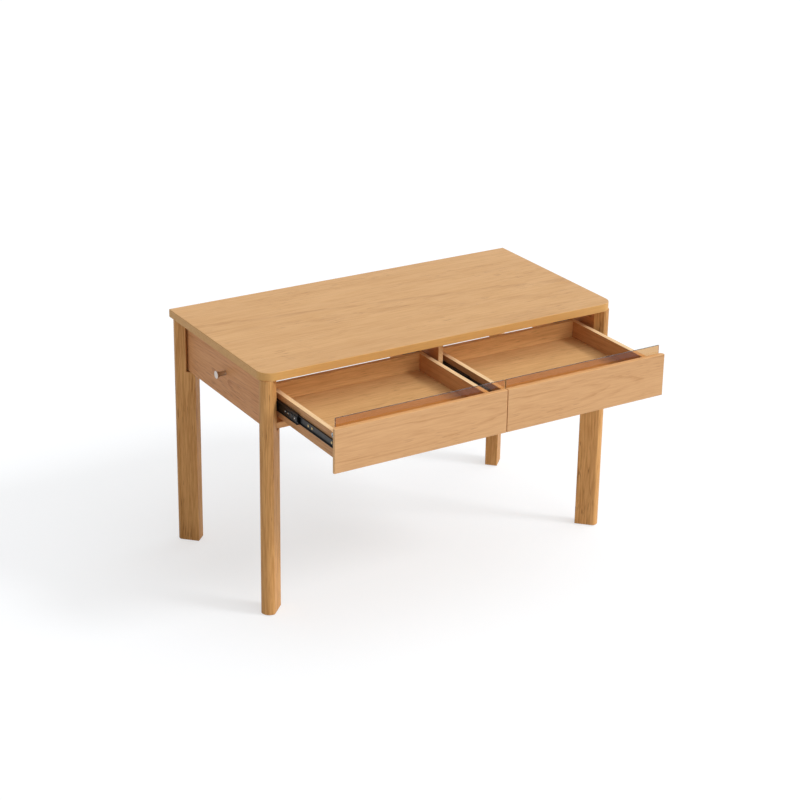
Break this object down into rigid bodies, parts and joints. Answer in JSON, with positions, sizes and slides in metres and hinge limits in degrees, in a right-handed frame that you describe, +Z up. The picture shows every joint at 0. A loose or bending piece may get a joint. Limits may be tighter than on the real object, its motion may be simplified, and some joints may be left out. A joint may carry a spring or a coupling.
{
  "type": "writing desk",
  "caption": "Wooden writing desk with rounded front corners, angled legs, side-by-side drawers on ball runners, tinted strips behind the drawer fronts and a side peg.",
  "frame": {"origin": "on the floor under the middle of the whole desk with its drawers out, which is 155 mm in front of the middle of the top", "axes": "+Z up, front of the desk towards -Y, +X to the sitter's right when facing +Y"},
  "size_m": [1.2, 0.91, 0.75],
  "materials": {
    "oak_top": "veneered board, satin clear lacquer",
    "oak_legs": "solid wood, satin clear lacquer",
    "oak_frame": "veneered board, satin clear lacquer",
    "oak_front": "veneered board, satin clear lacquer",
    "oak_drawer": "veneered board, satin clear lacquer",
    "beech_inner": "sanded",
    "tinted_strip": "clear bronze tint, polished edges",
    "runner_black": "black zinc plating",
    "ball_steel": "polished balls in sheet cages",
    "fastener_steel": "zinc plated",
    "insert_brass": "turned",
    "cam_zinc": "die-cast zinc",
    "bracket_steel": "zinc plated",
    "peg_metal": "turned, satin with a polished face",
    "glide_plastic": "moulded"
  },
  "bodies": {
    "desk_frame": {"back_board": "oak_frame", "bag_peg": "peg_metal", "bracket_screws": "fastener_steel", "centre_divider": "oak_frame", "corner_blocks": "beech_inner", "foot_glides": "glide_plastic", "frame_dowels": "beech_inner", "front_rail": "oak_frame", "leg_back_left": "oak_legs", "leg_back_right": "oak_legs", "leg_bolts": "fastener_steel", "leg_front_left": "oak_legs", "leg_front_right": "oak_legs", "leg_inserts": "insert_brass", "peg_screw": "fastener_steel", "runner_fixed_left_inner": "runner_black", "runner_fixed_left_outer": "runner_black", "runner_fixed_right_inner": "runner_black", "runner_fixed_right_outer": "runner_black", "runner_fixed_screws": "fastener_steel", "side_board_left": "oak_frame", "side_board_right": "oak_frame", "tabletop": "oak_top", "top_brackets": "bracket_steel"},
    "drawer_left": {"drawer_front_left": "oak_front", "tinted_strip_left": "tinted_strip", "strip_screws_left": "fastener_steel", "drawer_side_left_outer": "oak_drawer", "drawer_side_left_inner": "oak_drawer", "drawer_back_left": "oak_drawer", "drawer_floor_left": "oak_drawer", "drawer_cams_left": "cam_zinc", "drawer_cam_rods_left": "fastener_steel", "drawer_back_screws_left": "fastener_steel", "drawer_runner_screws_left": "fastener_steel", "runner_drawer_left_outer": "runner_black", "runner_drawer_left_inner": "runner_black"},
    "drawer_right": {"drawer_front_right": "oak_front", "tinted_strip_right": "tinted_strip", "strip_screws_right": "fastener_steel", "drawer_side_right_outer": "oak_drawer", "drawer_side_right_inner": "oak_drawer", "drawer_back_right": "oak_drawer", "drawer_floor_right": "oak_drawer", "drawer_cams_right": "cam_zinc", "drawer_cam_rods_right": "fastener_steel", "drawer_back_screws_right": "fastener_steel", "drawer_runner_screws_right": "fastener_steel", "runner_drawer_right_outer": "runner_black", "runner_drawer_right_inner": "runner_black"},
    "middle_left": {"runner_middle_left_outer": "runner_black", "runner_middle_left_inner": "runner_black", "runner_balls_left_outer": "ball_steel", "runner_balls_left_inner": "ball_steel"},
    "middle_right": {"runner_middle_right_outer": "runner_black", "runner_middle_right_inner": "runner_black", "runner_balls_right_outer": "ball_steel", "runner_balls_right_inner": "ball_steel"}
  },
  "joints": [
    {"name": "drawer_left_slide", "type": "slide", "parent": "desk_frame", "child": "drawer_left", "axis": [0, -1, 0], "range_m": [-0.31, 0.09]},
    {"name": "middle_left_slide", "type": "slide", "parent": "desk_frame", "child": "middle_left", "axis": [0, -1, 0], "range_m": [-0.155, 0.045]},
    {"name": "drawer_right_slide", "type": "slide", "parent": "desk_frame", "child": "drawer_right", "axis": [0, -1, 0], "range_m": [-0.31, 0.09]},
    {"name": "middle_right_slide", "type": "slide", "parent": "desk_frame", "child": "middle_right", "axis": [0, -1, 0], "range_m": [-0.155, 0.045]}
  ],
  "couplings": [
    {"joint": "middle_left_slide", "follows": "drawer_left_slide", "ratio": 0.5},
    {"joint": "middle_right_slide", "follows": "drawer_right_slide", "ratio": 0.5}
  ]
}
